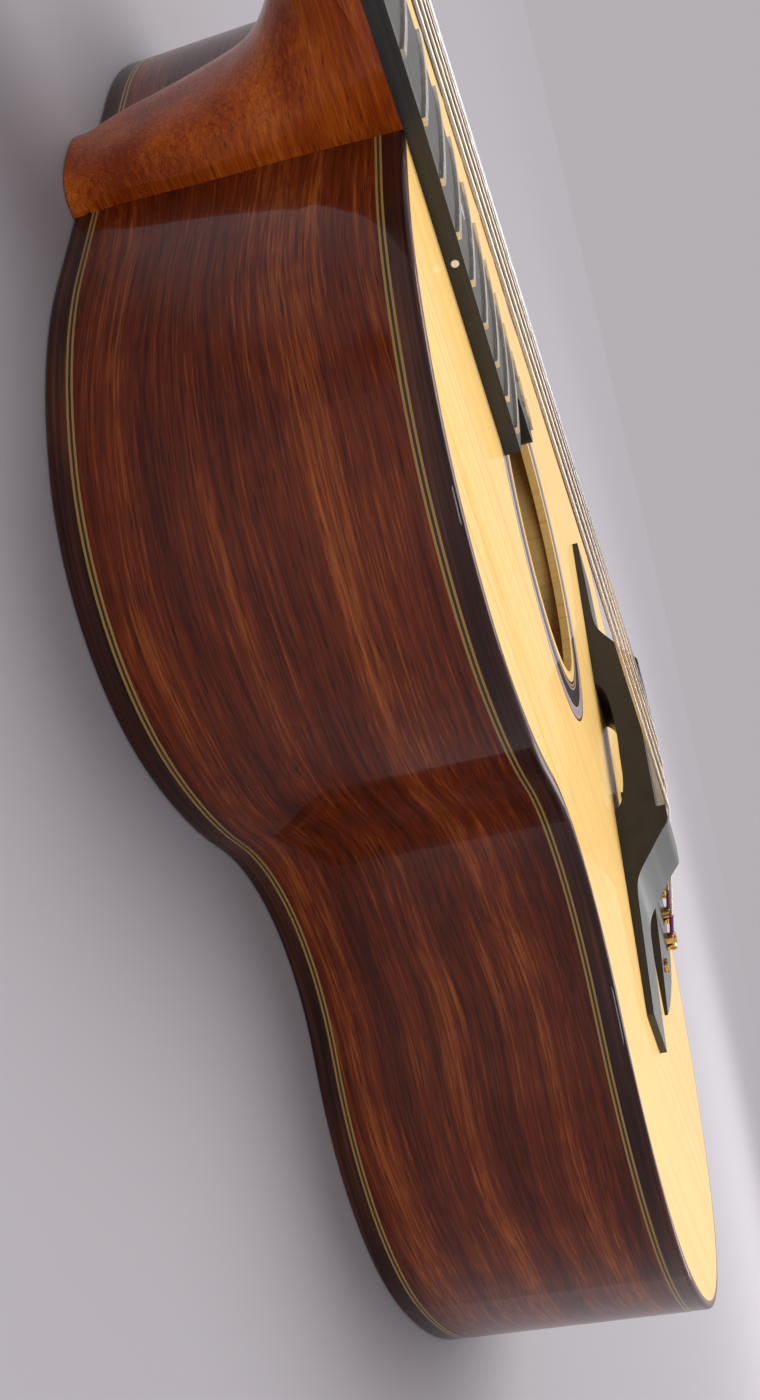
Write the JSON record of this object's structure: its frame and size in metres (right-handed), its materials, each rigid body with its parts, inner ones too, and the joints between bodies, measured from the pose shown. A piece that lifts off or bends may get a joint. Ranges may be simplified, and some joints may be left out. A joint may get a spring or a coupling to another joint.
{
  "type": "acoustic guitar",
  "caption": "Flat-top steel-string acoustic guitar with a glossy mahogany body, spruce top, arched ebony bridge and a crescent tail plate.",
  "frame": {"origin": "centre of the back's outer face, on the body's centreline", "axes": "+X towards the treble side, +Y towards the headstock, +Z out of the soundboard; the guitar lies on its back"},
  "size_m": [0.41, 1.025, 0.1107],
  "materials": {
    "mahogany": "glossy",
    "neck_mahogany": "glossy",
    "spruce": "glossy",
    "rosewood": "glossy",
    "ebony": "satin",
    "lining_wood": "matt",
    "rosette_veneer": "glossy",
    "line_veneer": "glossy",
    "pearl": "glossy",
    "bone": "polished",
    "brass": "polished",
    "silk": "matt",
    "wound_string": "satin",
    "plain_string": "polished",
    "nickel_silver": "polished",
    "steel": "satin",
    "chrome": "polished"
  },
  "bodies": {
    "guitar": {"back_plate": "mahogany", "side_bass": "mahogany", "side_treble": "mahogany", "end_graft": "rosewood", "soundboard": "spruce", "rosette": "rosette_veneer", "top_binding": "rosewood", "back_binding": "rosewood", "top_purfling": "line_veneer", "back_purfling": "line_veneer", "neck_block": "mahogany", "end_block": "mahogany", "top_linings": "lining_wood", "back_linings": "lining_wood", "x_brace_bass": "spruce", "x_brace_treble": "spruce", "top_braces": "spruce", "back_braces": "spruce", "back_strip": "spruce", "bridge_plate": "rosewood", "heel_cap": "neck_mahogany", "neck": "neck_mahogany", "headplate": "rosewood", "truss_rod": "steel", "fingerboard": "ebony", "frets": "nickel_silver", "side_dots": "pearl", "position_dots": "pearl", "nut": "bone", "bridge": "ebony", "saddle": "bone", "tail_plate": "ebony", "tail_pins": "brass", "tail_screws": "brass", "ball_ends": "brass", "string_silks": "silk", "string_1": "wound_string", "string_2": "wound_string", "string_3": "wound_string", "string_4": "wound_string", "string_5": "plain_string", "string_6": "plain_string", "end_pin": "ebony", "tuner_housings": "chrome", "tuner_bushings": "chrome", "tuner_washers": "chrome", "tuner_screws": "chrome"},
    "truss_rod_nut": {"truss_rod_nut": "brass"},
    "key_1": {"tuner_key_1": "chrome"},
    "post_1": {"tuner_post_1": "chrome"},
    "key_2": {"tuner_key_2": "chrome"},
    "post_2": {"tuner_post_2": "chrome"},
    "key_3": {"tuner_key_3": "chrome"},
    "post_3": {"tuner_post_3": "chrome"},
    "key_4": {"tuner_key_4": "chrome"},
    "post_4": {"tuner_post_4": "chrome"},
    "key_5": {"tuner_key_5": "chrome"},
    "post_5": {"tuner_post_5": "chrome"},
    "key_6": {"tuner_key_6": "chrome"},
    "post_6": {"tuner_post_6": "chrome"}
  },
  "joints": [
    {"name": "key_1_turn", "type": "hinge", "parent": "guitar", "child": "key_1", "pos_m": [-0.034, 0.64073, 0.05171], "axis": [1, 0, 0], "continuous": true},
    {"name": "post_1_turn", "type": "hinge", "parent": "guitar", "child": "post_1", "pos_m": [-0.024, 0.63769, 0.07389], "axis": [0, 0.274, 0.9617], "continuous": true},
    {"name": "key_2_turn", "type": "hinge", "parent": "guitar", "child": "key_2", "pos_m": [-0.033, 0.6792, 0.04075], "axis": [1, 0, 0], "continuous": true},
    {"name": "post_2_turn", "type": "hinge", "parent": "guitar", "child": "post_2", "pos_m": [-0.023, 0.67616, 0.06293], "axis": [0, 0.274, 0.9617], "continuous": true},
    {"name": "key_3_turn", "type": "hinge", "parent": "guitar", "child": "key_3", "pos_m": [-0.032, 0.71766, 0.02979], "axis": [1, 0, 0], "continuous": true},
    {"name": "post_3_turn", "type": "hinge", "parent": "guitar", "child": "post_3", "pos_m": [-0.022, 0.71463, 0.05198], "axis": [0, 0.274, 0.9617], "continuous": true},
    {"name": "key_4_turn", "type": "hinge", "parent": "guitar", "child": "key_4", "pos_m": [0.032, 0.71766, 0.02979], "axis": [1, 0, 0], "continuous": true},
    {"name": "post_4_turn", "type": "hinge", "parent": "guitar", "child": "post_4", "pos_m": [0.022, 0.71463, 0.05198], "axis": [0, 0.274, 0.9617], "continuous": true},
    {"name": "key_5_turn", "type": "hinge", "parent": "guitar", "child": "key_5", "pos_m": [0.033, 0.6792, 0.04075], "axis": [1, 0, 0], "continuous": true},
    {"name": "post_5_turn", "type": "hinge", "parent": "guitar", "child": "post_5", "pos_m": [0.023, 0.67616, 0.06293], "axis": [0, 0.274, 0.9617], "continuous": true},
    {"name": "key_6_turn", "type": "hinge", "parent": "guitar", "child": "key_6", "pos_m": [0.034, 0.64073, 0.05171], "axis": [1, 0, 0], "continuous": true},
    {"name": "post_6_turn", "type": "hinge", "parent": "guitar", "child": "post_6", "pos_m": [0.024, 0.63769, 0.07389], "axis": [0, 0.274, 0.9617], "continuous": true},
    {"name": "truss_rod_nut_turn", "type": "hinge", "parent": "guitar", "child": "truss_rod_nut", "pos_m": [0, 0.22436, 0.08122], "axis": [0, -0.9999, 0.0157], "range_deg": [-180, 180]}
  ],
  "couplings": [
    {"joint": "post_1_turn", "follows": "key_1_turn", "ratio": 0.0625},
    {"joint": "post_2_turn", "follows": "key_2_turn", "ratio": 0.0625},
    {"joint": "post_3_turn", "follows": "key_3_turn", "ratio": 0.0625},
    {"joint": "post_4_turn", "follows": "key_4_turn", "ratio": 0.0625},
    {"joint": "post_5_turn", "follows": "key_5_turn", "ratio": 0.0625},
    {"joint": "post_6_turn", "follows": "key_6_turn", "ratio": 0.0625}
  ]
}
